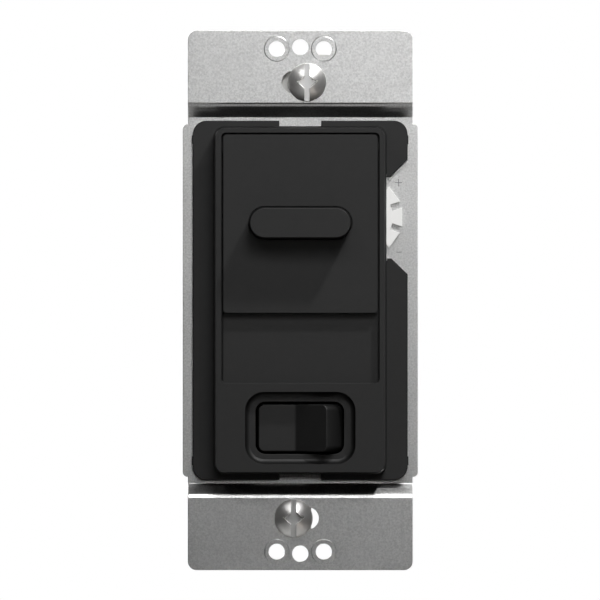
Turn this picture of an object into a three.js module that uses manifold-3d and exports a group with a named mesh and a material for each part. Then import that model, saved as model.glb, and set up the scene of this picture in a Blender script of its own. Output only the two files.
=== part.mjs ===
// Decorator-style slide dimmer with an on/off rocker, on a metal mounting strap.
// Millimetres. X right, Z up, the front faces -Y. The origin is the middle of the strap in
// the wall plane, which is the rear face of the strap's ears.
import * as THREE from 'three';
import { mergeVertices } from 'three/addons/utils/BufferGeometryUtils.js';
import Module from 'manifold-3d';

const wasm = await Module();
wasm.setup();

// ---- driving dimensions ----

// Strap
const STRAP_HEIGHT = 103.2;
const EAR_WIDTH = 43.0;
const EAR_CORNER = 1.7;
const METAL = 1.5;
const BEND_START = 37.8;
const BEND_END = 35.0;
const PLATE_FRONT = 1.0;
const PLATE_REAR = PLATE_FRONT + METAL;
const PLATE_WIDTH = 45.0;
const PLATE_HEIGHT = 67.6;
const PLATE_CORNER = 0.95;
const COVER_HOLE_Z = 48.42;
const SIDE_HOLE = { x: 4.5, z: 48.05, r: 1.52, bossR: 2.5, bossHeight: 0.3 };
const BOX_SLOT = { z: 41.67, halfLength: 3.54, halfHeight: 2.12 };
const GROUND_TAB = { x: -4, halfWidth: 5, z0: -34.9, z1: -33.7, y1: 13, screwY: 8.6 };

// Front frame
const FACE_Y = -7.6;
const FACE = { width: 33.0, height: 66.5, corner: 2.0, edge: 0.5 };
const FLANGE = { width: 41.08, height: 68.7, corner: 2.6, y0: -0.6 };
const FLANGE_NOTCH_HALF = 4.0;
const WHEEL_CUTOUT = { inner: 17.5, top: 26.95, bottom: 5.05, step: 3.1 };
const WALL_INNER = { x: 15.05, z: 31.8 };
const WELL = { top: 32.1, bottom: -15.85, corner: 0.9, floorFront: -6.2, floorRear: -5.0 };
const FACE_REAR = -6.0;
const SLIDE_SLOT = { halfWidth: 1.8, z0: -0.9, z1: 17.3 };
const SCREW_BOSS = { x: 13.2, z: 29.6, r: 2.2 };

// Slide
const SLIDE = { width: 29.5, top: 31.75, bottom: -2.3, corner: 0.7, thickness: 1.1 };
const GRIP = { z: 14.8, height: 5.0, base: [20.0, 6.6], top: [19.0, 5.6] };

// Rocker, given in its own neutral position about the pivot
const ROCKER = {
  z: -24.3, pivotY: -2.03, tilt: 16, halfHeight: 4.45, crease: 3.3,
  endRadius: 8.8, corner: 1.3, rearY: 1.2, trunnionR: 1.2, trunnionOut: 1.75,
};
const RECESS = { rim: [20.97, 13.8, 3.6], ring: [18.9, 11.85, 2.7], opening: [17.05, 10.0, 1.9] };
const RING_FRONT = -6.0;
const RING_REAR = -5.0;

// Trim wheel
const WHEEL = { x: 11.9, z: 15.9, apothem: 7.55, teeth: 10, y0: -1.1, y1: 0.7 };
const WHEEL_NOTCH = { width: 1.25, depth: 1.8 };

// Rear housing and circuit board
const HOUSING = { width: 44, height: 66, corner: 2.0, y1: 27.5, wall: 1.5, floor: 1.8 };
const BOARD = { halfWidth: 19.5, z0: -14.5, z1: 26.4, y0: 9.6, y1: 11.2 };
const TERMINALS = [[1, -6], [1, -20], [-1, -13]];
const TERMINAL = { x: 18.6, y: 19, halfHeight: 4.5, y0: 13.5 };

// ---- solid modelling helpers ----

function signedVolume(positions, index) {
  let sum = 0;
  for (let i = 0; i < index.length; i += 3) {
    const [a, b, c] = [0, 1, 2].map((k) => {
      const j = index[i + k] * 3;
      return new THREE.Vector3(positions[j], positions[j + 1], positions[j + 2]);
    });
    sum += a.dot(b.cross(c)) / 6;
  }
  return sum;
}

function solid(geometry) {
  const bare = geometry.clone();
  bare.deleteAttribute('normal');
  bare.deleteAttribute('uv');
  const merged = mergeVertices(bare, 1e-5);
  const positions = merged.attributes.position.array;
  const index = [];
  for (let i = 0; i < merged.index.count; i += 3) {
    const [a, b, c] = [0, 1, 2].map((k) => merged.index.getX(i + k));
    if (a !== b && b !== c && a !== c) {
      index.push(a, b, c);
    }
  }
  if (signedVolume(positions, index) < 0) {
    index.reverse();
  }
  return new wasm.Manifold(new wasm.Mesh({
    numProp: 3,
    vertProperties: new Float32Array(positions),
    triVerts: new Uint32Array(index),
  }));
}

function box(x0, x1, y0, y1, z0, z1) {
  const g = new THREE.BoxGeometry(x1 - x0, y1 - y0, z1 - z0);
  return solid(g.translate((x0 + x1) / 2, (y0 + y1) / 2, (z0 + z1) / 2));
}

function rodY(x, z, r, y0, y1, sides = 24) {
  const g = new THREE.CylinderGeometry(r, r, y1 - y0, sides);
  return solid(g.translate(x, (y0 + y1) / 2, z));
}

function rodX(y, z, r, x0, x1, sides = 20) {
  const g = new THREE.CylinderGeometry(r, r, x1 - x0, sides).rotateZ(Math.PI / 2);
  return solid(g.translate((x0 + x1) / 2, y, z));
}

function rodZ(x, y, r, z0, z1, sides = 20) {
  const g = new THREE.CylinderGeometry(r, r, z1 - z0, sides).rotateX(Math.PI / 2);
  return solid(g.translate(x, y, (z0 + z1) / 2));
}

function polygon(points) {
  return new THREE.Shape(points.map(([u, v]) => new THREE.Vector2(u, v)));
}

function roundedRect(width, height, r, cx = 0, cz = 0) {
  const [hx, hz] = [width / 2 - r, height / 2 - r];
  const s = new THREE.Shape();
  s.absarc(cx + hx, cz + hz, r, 0, Math.PI / 2);
  s.absarc(cx - hx, cz + hz, r, Math.PI / 2, Math.PI);
  s.absarc(cx - hx, cz - hz, r, Math.PI, 1.5 * Math.PI);
  s.absarc(cx + hx, cz - hz, r, 1.5 * Math.PI, 2 * Math.PI);
  s.closePath();
  return s;
}

// A shape drawn in X and Z, extruded from y0 to y1.
function prismY(shape, y0, y1, steps = 6) {
  const options = { depth: y1 - y0, bevelEnabled: false, curveSegments: steps };
  return solid(new THREE.ExtrudeGeometry(shape, options).rotateX(Math.PI / 2).translate(0, y1, 0));
}

// The same, with its edge at y0 rounded by `edge`.
function softPrismY(shape, y0, y1, edge, steps = 6, edgeSteps = 2) {
  const options = {
    depth: y1 - y0, bevelEnabled: true, bevelSize: edge, bevelThickness: edge,
    bevelOffset: -edge, bevelSegments: edgeSteps, curveSegments: steps,
  };
  const g = new THREE.ExtrudeGeometry(shape, options).rotateX(Math.PI / 2);
  return solid(g.translate(0, y1 + edge, 0)).subtract(box(-99, 99, y1, y1 + 99, -99, 99));
}

// A shape drawn in Y and Z, extruded from x0 to x1.
function prismX(shape, x0, x1, steps = 6) {
  const options = { depth: x1 - x0, bevelEnabled: false, curveSegments: steps };
  const toX = new THREE.Matrix4().makeBasis(
    new THREE.Vector3(0, 1, 0), new THREE.Vector3(0, 0, 1), new THREE.Vector3(1, 0, 0));
  return solid(new THREE.ExtrudeGeometry(shape, options).applyMatrix4(toX).translate(x0, 0, 0));
}

// A closed skin over rings of points, each ring an array of [x, y, z] with one length.
function loft(rings, flat) {
  const n = rings[0].length;
  const index = [];
  for (let k = 0; k + 1 < rings.length; k += 1) {
    for (let i = 0; i < n; i += 1) {
      const [a, b] = [k * n + i, k * n + (i + 1) % n];
      index.push(a, b, a + n, b, b + n, a + n);
    }
  }
  [0, rings.length - 1].forEach((k) => {
    const outline = rings[k].map(flat);
    THREE.ShapeUtils.triangulateShape(outline, []).forEach(([a, b, c]) => {
      const tri = [a + k * n, b + k * n, c + k * n];
      index.push(...(k === 0 ? tri.reverse() : tri));
    });
  });
  const g = new THREE.BufferGeometry();
  g.setAttribute('position', new THREE.Float32BufferAttribute(rings.flat(2), 3));
  g.setIndex(index);
  return solid(g);
}

const inXZ = ([x, , z]) => new THREE.Vector2(x, z);
const inXY = ([x, y]) => new THREE.Vector2(x, y);

function lathe(profile, sides) {
  return solid(new THREE.LatheGeometry(profile.map(([r, y]) => new THREE.Vector2(r, y)), sides));
}

class Helix extends THREE.Curve {
  constructor(radius, length, turns) {
    super();
    Object.assign(this, { radius, length, turns });
  }

  getPoint(t) {
    const a = t * this.turns * 2 * Math.PI;
    return new THREE.Vector3(this.radius * Math.cos(a), t * this.length, this.radius * Math.sin(a));
  }
}

class RingWinding extends THREE.Curve {
  constructor(ring, halfWidth, halfDepth, turns, sweep) {
    super();
    Object.assign(this, { ring, halfWidth, halfDepth, turns, sweep });
  }

  getPoint(t) {
    const around = t * this.sweep;
    const a = t * this.turns * 2 * Math.PI;
    const squash = 1 / Math.max(Math.abs(Math.cos(a)), Math.abs(Math.sin(a))) ** 0.85;
    const r = this.ring + this.halfWidth * squash * Math.cos(a);
    return new THREE.Vector3(
      r * Math.cos(around), this.halfDepth * squash * Math.sin(a), r * Math.sin(around));
  }
}

function wire(curve, radius, steps, sides) {
  const section = new THREE.Shape();
  section.absarc(0, 0, radius, 0, 2 * Math.PI);
  const options = { steps, bevelEnabled: false, extrudePath: curve, curveSegments: sides };
  return solid(new THREE.ExtrudeGeometry(section, options));
}

function outline(shape, divisions = 6) {
  return shape.getPoints(divisions);
}

// ---- strap ----

// Corner points of a bent sheet, each inner and outer bend rounded by its own radius.
function bentProfile(corners) {
  const s = new THREE.Shape();
  corners.forEach(([y, z, r], i) => {
    const here = new THREE.Vector2(y, z);
    if (!r) {
      if (i === 0) s.moveTo(y, z);
      else s.lineTo(y, z);
      return;
    }
    const before = corners[(i + corners.length - 1) % corners.length];
    const after = corners[(i + 1) % corners.length];
    const toward = ([py, pz]) => new THREE.Vector2(py, pz).sub(here).setLength(r).add(here);
    const [a, b] = [toward(before), toward(after)];
    s.lineTo(a.x, a.y);
    s.quadraticCurveTo(y, z, b.x, b.y);
  });
  s.closePath();
  return s;
}

function makeStrap() {
  const end = STRAP_HEIGHT / 2;
  const slope = Math.atan2(PLATE_FRONT + METAL, BEND_START - BEND_END);
  const shift = METAL * Math.tan(slope / 2);
  const half = [
    [-METAL, end], [-METAL, BEND_START, 0.5], [PLATE_FRONT, BEND_END, 0.5],
  ];
  const back = [
    [PLATE_REAR, BEND_END + shift, 0.5], [0, BEND_START + shift, 0.5], [0, end],
  ];
  const mirror = ([y, z, r]) => [y, -z, r];
  const front = [...half, ...half.slice().reverse().map(mirror)];
  const rear = [...back.slice().reverse().map(mirror), ...back];
  let strap = prismX(bentProfile([...front, ...rear]), -PLATE_WIDTH / 2, PLATE_WIDTH / 2, 3);
  const plan = prismY(roundedRect(EAR_WIDTH, STRAP_HEIGHT, EAR_CORNER), -9, 9)
    .add(prismY(roundedRect(PLATE_WIDTH, PLATE_HEIGHT, PLATE_CORNER), -9, 9));
  strap = strap.intersect(plan);
  const tab = GROUND_TAB;
  strap = strap.add(box(tab.x - tab.halfWidth, tab.x + tab.halfWidth,
    PLATE_FRONT + 0.2, tab.y1, tab.z0, tab.z1));
  strap = strap.subtract(rodZ(tab.x, tab.screwY, 1.95, tab.z0 - 1, tab.z1 + 1));
  [1, -1].forEach((up) => {
    [1, -1].forEach((side) => {
      const [x, z] = [side * SIDE_HOLE.x, up * SIDE_HOLE.z];
      const front = -METAL - SIDE_HOLE.bossHeight;
      strap = strap.add(rodY(x, z, SIDE_HOLE.bossR, front, -METAL / 2, 28));
      strap = strap.subtract(rodY(x, z, SIDE_HOLE.r, -9, 9));
    });
    strap = strap.subtract(rodY(0, up * COVER_HOLE_Z, 1.55, -9, 9));
    const slot = roundedRect(2 * BOX_SLOT.halfLength, 2 * BOX_SLOT.halfHeight,
      BOX_SLOT.halfHeight - 0.01, 0, up * BOX_SLOT.z);
    strap = strap.subtract(prismY(slot, -9, 9, 8));
  });
  return strap.subtract(strapOpenings());
}

// Openings of the recessed plate: rocker, slide, wheel shaft, triac rivet, assembly screws.
function strapOpenings() {
  let cut = prismY(roundedRect(20.4, 14.4, 1.5, 0, ROCKER.z), -9, 9, 3)
    .add(box(-3.2, 3.2, -9, 9, -3.4, 19.4))
    .add(rodY(WHEEL.x, WHEEL.z, 2.4, -9, 9))
    .add(rodY(TRIAC.x, TRIAC.holeZ, 1.6, -9, 9, 16));
  corners().forEach(([x, z]) => {
    cut = cut.add(rodY(x, z, 1.6, -9, 9, 16));
  });
  return cut;
}

function corners() {
  return [[-1, 1], [1, 1], [-1, -1], [1, -1]].map(([a, b]) => [a * SCREW_BOSS.x, b * SCREW_BOSS.z]);
}

// ---- front frame ----

function makeFrontFrame() {
  let frame = makeFlange().add(softPrismY(
    roundedRect(FACE.width, FACE.height, FACE.corner), FACE_Y, PLATE_FRONT, FACE.edge, 6, 3));
  const wellHeight = WELL.top - WELL.bottom;
  const wellZ = (WELL.top + WELL.bottom) / 2;
  const wellShape = roundedRect(2 * WALL_INNER.x, wellHeight, WELL.corner, 0, wellZ);
  const [ix, iz] = [WALL_INNER.x, WALL_INNER.z];
  frame = frame
    .subtract(prismY(wellShape, FACE_Y - 1, WELL.floorFront, 4))
    .subtract(box(-ix, ix, WELL.floorRear, PLATE_FRONT + 1, WELL.bottom + 1.3, iz))
    .subtract(box(-ix, ix, FACE_REAR, PLATE_FRONT + 1, -iz, WELL.bottom - 0.2))
    .subtract(box(-SLIDE_SLOT.halfWidth, SLIDE_SLOT.halfWidth, FACE_Y, PLATE_FRONT,
      SLIDE_SLOT.z0, SLIDE_SLOT.z1))
    .subtract(box(WHEEL.x, FLANGE.width, WHEEL.y0 - 0.4, PLATE_FRONT + 1,
      WHEEL.z - 8.3, WHEEL.z + 8.3));
  corners().forEach(([x, z]) => {
    const [px, pz] = [x - Math.sign(x) * 0.2, z - Math.sign(z) * 0.2];
    frame = frame
      .add(rodY(px, pz, SCREW_BOSS.r, FACE_REAR + 0.2, PLATE_FRONT, 20))
      .subtract(rodY(x, z, 1.3, -5.2, PLATE_FRONT + 1, 16));
  });
  return addRockerRecess(frame);
}

function makeFlange() {
  const { width, height, corner, y0 } = FLANGE;
  let flange = prismY(roundedRect(width, height, corner), y0, PLATE_FRONT, 6);
  [1, -1].forEach((up) => {
    [1, -1].forEach((side) => {
      const x = side * (width / 2 - 0.1);
      flange = flange.add(box(x - 0.25, x + 0.25, y0, PLATE_FRONT, up * 30.7 - 0.85, up * 30.7 + 0.85));
    });
    const z = up * (FACE.height / 2 + 2);
    flange = flange.subtract(
      box(-FLANGE_NOTCH_HALF, FLANGE_NOTCH_HALF, y0 - 1, PLATE_FRONT + 1, z - 2, z + 2));
  });
  const { inner, top, bottom, step } = WHEEL_CUTOUT;
  const outer = inner + step;
  const cutout = polygon([
    [FACE.width / 2 - 1, bottom + step], [inner, bottom + step], [outer, bottom], [25, bottom],
    [25, top], [outer, top], [inner, top - step], [FACE.width / 2 - 1, top - step],
  ]);
  return flange.subtract(prismY(cutout, y0 - 1, PLATE_FRONT + 1));
}

// A sloped rim leads down to a flat ring around the rocker's opening. The box behind it
// carries the rocker's trunnions in two open saddles.
function addRockerRecess(frame) {
  const z = ROCKER.z;
  const rings = [[RECESS.rim, FACE_Y - 0.01], [RECESS.ring, RING_FRONT]].map(([[w, h, r], y]) => (
    outline(roundedRect(w, h, r, 0, z)).slice(0, -1).map((p) => [p.x, y, p.y])));
  let out = frame.add(box(-10.9, 10.9, FACE_Y + 0.6, PLATE_FRONT, z - 7.2, z + 7.2));
  out = out.subtract(loft(rings, inXZ));
  const [w, h, r] = RECESS.opening;
  out = out.subtract(prismY(roundedRect(w, h, r, 0, z), FACE_Y, PLATE_FRONT + 1, 5));
  out = out.subtract(box(-9.6, 9.6, RING_REAR, PLATE_FRONT + 1, z - 5.2, z + 5.2));
  const saddle = rodZ(0, ROCKER.pivotY, ROCKER.trunnionR + 0.15, z - 6.4, z + 6.4)
    .add(box(-1.25, 1.25, ROCKER.pivotY, PLATE_FRONT + 1, z - 6.4, z + 6.4));
  return out.subtract(saddle);
}

// ---- slide ----

function stadium([length, width], y) {
  const r = width / 2;
  const s = roundedRect(length, width, r - 0.005, 0, GRIP.z);
  return outline(s, 6).slice(0, -1).map((p) => [p.x, y, p.y]);
}

function makeSlidePanel() {
  const height = SLIDE.top - SLIDE.bottom;
  const shape = roundedRect(SLIDE.width, height, SLIDE.corner, 0, (SLIDE.top + SLIDE.bottom) / 2);
  const panel = softPrismY(shape, FACE_Y, FACE_Y + SLIDE.thickness, 0.25, 4, 2);
  const top = FACE_Y - GRIP.height;
  const [[bl, bw], [tl, tw]] = [GRIP.base, GRIP.top];
  const grip = loft([
    stadium([bl, bw], FACE_Y + 0.3), stadium([bl, bw], FACE_Y),
    stadium([tl, tw], top + 0.6), stadium([tl - 0.35, tw - 0.35], top + 0.17),
    stadium([tl - 1.2, tw - 1.2], top),
  ], inXZ);
  return panel.add(grip);
}

function makeSlideCarriage() {
  const z = GRIP.z;
  return box(-4.5, 4.5, -4.7, -3.7, z - 4, z + 4)
    .add(box(-1.5, 1.5, FACE_Y + SLIDE.thickness, -4.2, z - 1.6, z + 1.6))
    .add(box(-1.9, 1.9, -4.0, 3.6, z - 3.4, z + 3.4))
    .subtract(box(-0.8, 0.8, 1.1, 5, z - 2.2, z + 2.2));
}

function makeSlidePotBody() {
  return box(-4.5, 4.5, 4.2, BOARD.y0, -5, 21.4)
    .subtract(box(-1.0, 1.0, 3, 6.6, SLIDE_SLOT.z0 - 0.5, SLIDE_SLOT.z1 + 0.5));
}

function makeSlidePotLever() {
  return box(-0.6, 0.6, 1.4, 6.3, GRIP.z - 2, GRIP.z + 2);
}

// ---- rocker and switch ----

// Section of the rocker across its pivot, its ends drawn in by `inset`.
function rockerSection(inset, z) {
  const { crease, endRadius, rearY } = ROCKER;
  const r = endRadius - inset;
  const slope = Math.tan(THREE.MathUtils.degToRad(ROCKER.tilt));
  const a = 1 + slope ** 2;
  const b = crease * slope;
  const tipX = (-b + Math.sqrt(b ** 2 - a * (crease ** 2 - r ** 2))) / a;
  const from = Math.atan2(-crease - slope * tipX, tipX);
  const to = Math.asin(rearY / r);
  const steps = 7;
  const right = Array.from({ length: steps + 1 }, (_, i) => {
    const angle = from + ((to - from) * i) / steps;
    return [r * Math.cos(angle), r * Math.sin(angle), z];
  });
  const left = right.slice().reverse().map(([x, y]) => [-x, y, z]);
  return [[0, -crease, z], ...right, ...left];
}

function makeRocker() {
  const { halfHeight, corner, rearY, trunnionR, trunnionOut } = ROCKER;
  const steps = 4;
  const rings = [];
  for (let i = 0; i <= steps; i += 1) {
    const angle = (i / steps) * Math.PI / 2;
    rings.push(rockerSection(corner * (1 - Math.sin(angle)), -halfHeight + corner * (1 - Math.cos(angle))));
  }
  const mirrored = rings.slice().reverse().map((ring) => ring.map(([x, y, z]) => [x, y, -z]));
  let rocker = loft([...rings, ...mirrored], inXY);
  [1, -1].forEach((side) => {
    const [near, far] = [side * 3.6, side * 7.4];
    rocker = rocker.subtract(box(Math.min(near, far), Math.max(near, far), -2.4, rearY + 1, -3.2, 3.2));
  });
  const reach = halfHeight + trunnionOut;
  return rocker
    .add(rodZ(0, 0, trunnionR, -reach, reach))
    .add(rodY(0, 0, 2.6, 0, 6, 20))
    .subtract(rodY(0, 0, 1.5, 0.8, 7, 16));
}

function makePlunger() {
  return lathe([[0, 3.2], [1.3, 3.2], [1.3, 8.2], [1.05, 8.7], [0.6, 8.93], [0, 9.0]], 16);
}

function makeRockerSpring() {
  return wire(new Helix(1.1, 1.75, 3), 0.2, 36, 3)
    .translate(0, 1.1, 0);
}

const ARM_PIVOT_Y = 7.65;

function makeContactArm() {
  const slope = Math.tan(THREE.MathUtils.degToRad(10));
  const profile = [
    [0, -0.6], [8, -0.6 - 8 * slope], [8, -8 * slope], [0, 0], [-8, -8 * slope], [-8, -0.6 - 8 * slope],
  ];
  const g = new THREE.ExtrudeGeometry(polygon(profile), { depth: 5, bevelEnabled: false });
  let arm = solid(g.translate(0, 0, -2.5));
  [1, -1].forEach((side) => {
    arm = arm.add(rodY(side * 7.1, 0, 0.9, -1.5, -0.76, 12));
  });
  return arm;
}

function makeCommonBracket() {
  const z = ROCKER.z;
  const edge = polygon([[-0.5, 8.9], [-0.15, 7.8], [0.15, 7.8], [0.5, 8.9]]);
  const g = new THREE.ExtrudeGeometry(edge, { depth: 5, bevelEnabled: false });
  return solid(g.translate(0, 0, z - 2.5))
    .add(box(-3, 3, 8.8, 9.4, z - 2.5, z + 2.5))
    .add(box(-3, -2.4, 9.0, 13, z - 2.5, z + 2.5))
    .add(box(2.4, 3, 9.0, 13, z - 2.5, z + 2.5));
}

function makeFixedContact(side) {
  const z = ROCKER.z;
  const span = (a, b) => [Math.min(side * a, side * b), Math.max(side * a, side * b)];
  return rodY(side * 7.2, z, 1.1, 8.0, 8.9, 14)
    .add(box(...span(5.8, 10.4), 8.7, 9.3, z - 2, z + 2))
    .add(box(...span(9.8, 10.4), 9.0, 13, z - 2, z + 2));
}

function makeSwitchBase() {
  const z = ROCKER.z;
  return box(-12.5, 12.5, 13, 16.5, z - 3.0, z + 6)
    .subtract(box(-5, 5, 14.5, 18, z - 2, z + 4));
}

// ---- trim wheel ----

function makeTrimWheel() {
  const { apothem, teeth, y0, y1 } = WHEEL;
  const circum = apothem / Math.cos(Math.PI / teeth);
  const at = (i) => ((2 * i + 1) * Math.PI) / teeth;
  const rim = Array.from({ length: teeth }, (_, i) => [circum * Math.cos(at(i)), circum * Math.sin(at(i))]);
  let wheel = prismY(polygon(rim), y0, y1);
  for (let i = 0; i < teeth; i += 1) {
    const g = new THREE.BoxGeometry(2 * WHEEL_NOTCH.depth, 9, WHEEL_NOTCH.width);
    g.translate(apothem, 0, 0).rotateY(-at(i));
    wheel = wheel.subtract(solid(g));
  }
  return wheel
    .add(rodY(0, 0, 2.1, y1 - 0.2, 4.4))
    .add(rodY(0, 0, 1.4, 4.2, 7.2, 16));
}

function makeTrimPotBody() {
  const { x, z } = WHEEL;
  return box(x - 4.7, x + 4.7, 5.0, BOARD.y0, z - 4.7, z + 4.7)
    .subtract(rodY(x, z, 1.7, 4, 7.8, 16));
}

// ---- box screws and retainers ----

function makeBoxScrew() {
  const head = [[0, -3.7], [1.4, -3.6], [2.5, -3.2], [3.3, -2.5], [3.65, -1.85], [3.5, -METAL]];
  const screw = lathe([...head, [1.6, -METAL], [1.6, 21], [0.7, 22.4], [0, 22.4]], 28);
  const recess = box(-0.5, 0.5, -5, -2.7, -4, 4)
    .add(box(-2, 2, -5, -2.4, -0.45, 0.45))
    .add(box(-0.45, 0.45, -5, -2.4, -2, 2));
  return screw.subtract(recess);
}

function makeRetainer() {
  const plate = prismY(roundedRect(9.8, 7.6, 0.5), 0, 0.8, 2);
  return plate.subtract(prismY(roundedRect(6.0, 6.0, 2.0), -1, 2, 4));
}

// ---- housing ----

function makeHousing() {
  const { width, height, corner, y1, wall, floor } = HOUSING;
  const outer = softPrismY(roundedRect(width, height, corner), -y1, -PLATE_REAR, 1.2, 5, 3);
  const inner = roundedRect(width - 2 * wall, height - 2 * wall, 0.8);
  let shell = outer.mirror([0, 1, 0]).subtract(prismY(inner, PLATE_REAR - 1, y1 - floor, 3));
  const depth = y1 - floor + 0.2;
  corners().forEach(([x, z]) => {
    const [px, pz] = [x, z + Math.sign(z) * 1.2];
    shell = shell.add(box(px - 3.3, px + 3.3, PLATE_REAR, depth, pz - 3.2, pz + 3.2)
      .intersect(box(-21.5, 21.5, 0, depth, -32.5, 32.5)));
  });
  [1, -1].forEach((side) => {
    [24, -12].forEach((z) => {
      const [a, b] = [side * 18.9, side * 21];
      shell = shell.add(box(Math.min(a, b), Math.max(a, b), BOARD.y1, depth, z - 2, z + 2));
    });
    const x = side * 10.5;
    shell = shell.add(box(x - 1.2, x + 1.2, 16.5, depth, ROCKER.z - 4, ROCKER.z + 4));
  });
  TERMINALS.forEach(([side, z]) => {
    shell = cutTerminalPocket(shell, side, z);
  });
  shell = addGroundScrewWell(shell);
  corners().forEach(([x, z]) => {
    shell = shell.subtract(rodY(x, z, 1.6, 0, 40, 16)).subtract(rodY(x, z, 2.8, 22, 40, 20));
  });
  return shell;
}

function cutTerminalPocket(shell, side, z) {
  const span = (a, b) => [Math.min(side * a, side * b), Math.max(side * a, side * b)];
  const h = TERMINAL.halfHeight;
  const walls = box(...span(TERMINAL.x - 1.4, 21), TERMINAL.y0 - 1.2, 26, z - h - 1.2, z + h + 1.2);
  return shell.add(walls)
    .subtract(box(...span(TERMINAL.x, 30), TERMINAL.y0, 40, z - h, z + h))
    .subtract(rodX(TERMINAL.y, z, 2.0, ...span(TERMINAL.x - 3, TERMINAL.x + 3), 16));
}

// A blind well in the lower wall that clears the end of the ground screw.
function addGroundScrewWell(shell) {
  const { x, screwY } = GROUND_TAB;
  const z = -HOUSING.height / 2;
  return shell.add(box(x - 3.2, x + 3.2, screwY - 3.2, screwY + 3.2, z + 0.5, z + 3.8))
    .subtract(rodZ(x, screwY, 2.2, z - 1, z + 3, 16));
}

function makeAssemblyScrew() {
  return lathe([[0, -3.6], [0.9, -3.0], [1.25, -2], [1.25, 22], [2.5, 22], [2.5, 23.2], [1.9, 23.9],
    [0, 24.1]], 16)
    .subtract(box(-0.4, 0.4, 23, 25, -1.8, 1.8))
    .subtract(box(-1.8, 1.8, 23, 25, -0.4, 0.4));
}

function makeTerminalPlate(side, z) {
  const span = (a, b) => [Math.min(side * a, side * b), Math.max(side * a, side * b)];
  const x = TERMINAL.x;
  return box(...span(x + 0.05, x + 0.9), 14.2, 24.5, z - 4.1, z + 4.1)
    .add(box(...span(x + 0.05, x + 2.4), 23.7, 24.5, z - 4.1, z + 4.1))
    .subtract(rodX(TERMINAL.y, z, 1.85, ...span(x - 1, x + 3), 16));
}

// A binding-head screw along its own +Y, the underside of the head at y = 0.
function bindingScrew(length) {
  return lathe([[0, -length], [1.2, -length], [1.7, -length + 0.8], [1.7, 0], [3.4, 0], [3.4, 1.3],
    [2.6, 2.0], [0, 2.2]], 20)
    .subtract(box(-3.8, 3.8, 1.2, 3, -0.45, 0.45))
    .subtract(box(-0.45, 0.45, 1.0, 3, -1.7, 1.7));
}

// ---- electronics ----

const TRIAC = { x: -12.2, holeZ: 23.4 };

function makeCircuitBoard() {
  const { halfWidth, z0, z1, y0, y1 } = BOARD;
  const shape = roundedRect(2 * halfWidth, z1 - z0, 1.0, 0, (z0 + z1) / 2);
  return prismY(shape, y0, y1, 3);
}

function makeTriac() {
  const x = TRIAC.x;
  let triac = box(x - 5, x + 5, 2.8, 4.1, 12, 26.2)
    .add(box(x - 5, x + 5, 2.8, 7.2, 10.6, 19.8));
  [-1, 0, 1].forEach((k) => {
    const c = x + k * 2.54;
    triac = triac.add(box(c - 0.4, c + 0.4, 5.0, 5.5, 8.2, 10.8))
      .add(box(c - 0.4, c + 0.4, 5.0, BOARD.y0, 8.2, 8.7));
  });
  return triac.subtract(rodY(x, TRIAC.holeZ, 1.8, 0, 9, 16));
}

function makeTriacInsulator() {
  return box(TRIAC.x - 5.6, TRIAC.x + 5.6, PLATE_REAR, 2.8, 9.6, 26.7)
    .subtract(rodY(TRIAC.x, TRIAC.holeZ, 1.8, 0, 9, 16));
}

function makeTriacRivet() {
  return rodY(0, 0, 2.6, 0.2, PLATE_FRONT, 20)
    .add(rodY(0, 0, 1.45, 0.5, 4.6, 16))
    .add(rodY(0, 0, 2.4, 4.1, 5.0, 20))
    .translate(TRIAC.x, 0, TRIAC.holeZ);
}

const CHOKE = { x: -9.6, y: 16.4, z: 13.5, outer: 7.6, inner: 4.2, halfDepth: 3.2 };

function makeChokeCore() {
  const { x, y, z, outer, inner, halfDepth } = CHOKE;
  return rodY(x, z, outer, y - halfDepth, y + halfDepth, 32)
    .subtract(rodY(x, z, inner, y - 9, y + 9, 24));
}

function makeChokeWinding() {
  const { x, y, z, outer, inner, halfDepth } = CHOKE;
  const ring = (outer + inner) / 2;
  const clear = 0.85;
  const coil = new RingWinding(ring, (outer - inner) / 2 + clear, halfDepth + clear, 13, 5.6);
  return wire(coil, 0.5, 13 * 12, 3).translate(x, y, z);
}

function boxedPart(cx, cz, width, height, depth) {
  const y0 = BOARD.y1;
  return softPrismY(roundedRect(width, height, 0.8, cx, cz), -y0 - depth, -y0, 0.6, 2, 2)
    .mirror([0, 1, 0]);
}

function axialPart(cx, cz, radius, length) {
  const y = BOARD.y1 + radius + 0.4;
  let body = rodZ(cx, y, radius, cz - length / 2, cz + length / 2, 14)
    .add(rodZ(cx, y, 0.35, cz - length / 2 - 1.4, cz + length / 2 + 1.4, 8));
  [1, -1].forEach((side) => {
    body = body.add(rodY(cx, cz + side * (length / 2 + 1.2), 0.35, BOARD.y1, y + 0.1, 8));
  });
  return body;
}

function makeVaristor() {
  const y = BOARD.y1 + 5.6;
  let disc = rodX(y, -3.6, 4.4, -15.8, -12.4, 24);
  [1, -1].forEach((side) => {
    disc = disc.add(rodY(-14.1 + side * 0.6, -3.6 + side * 2.5, 0.35, BOARD.y1, y, 8));
  });
  return disc;
}

// ---- assembly ----

const COLOURS = {
  metal: [0xb4b6b7, 1, 0.4], black: [0x2c2c2c, 0, 0.5], white: [0xdcdcda, 0, 0.5],
  nickel: [0xc8c8c6, 1, 0.25], housing: [0x1d1e20, 0, 0.6], board: [0x2c5b3a, 0, 0.5],
  copper: [0xb2622e, 1, 0.35], brass: [0xc8a35a, 1, 0.35], green: [0x2f7a45, 0.4, 0.4],
  ferrite: [0x4b4c50, 0, 0.7], yellow: [0xc9a63c, 0, 0.5], blue: [0x365fa3, 0, 0.5],
  tan: [0xb89a72, 0, 0.6], fibre: [0xbfc0bd, 0, 0.7], red: [0xa5442f, 0, 0.4],
};

const root = new THREE.Group();
root.name = 'slide_dimmer';

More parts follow.
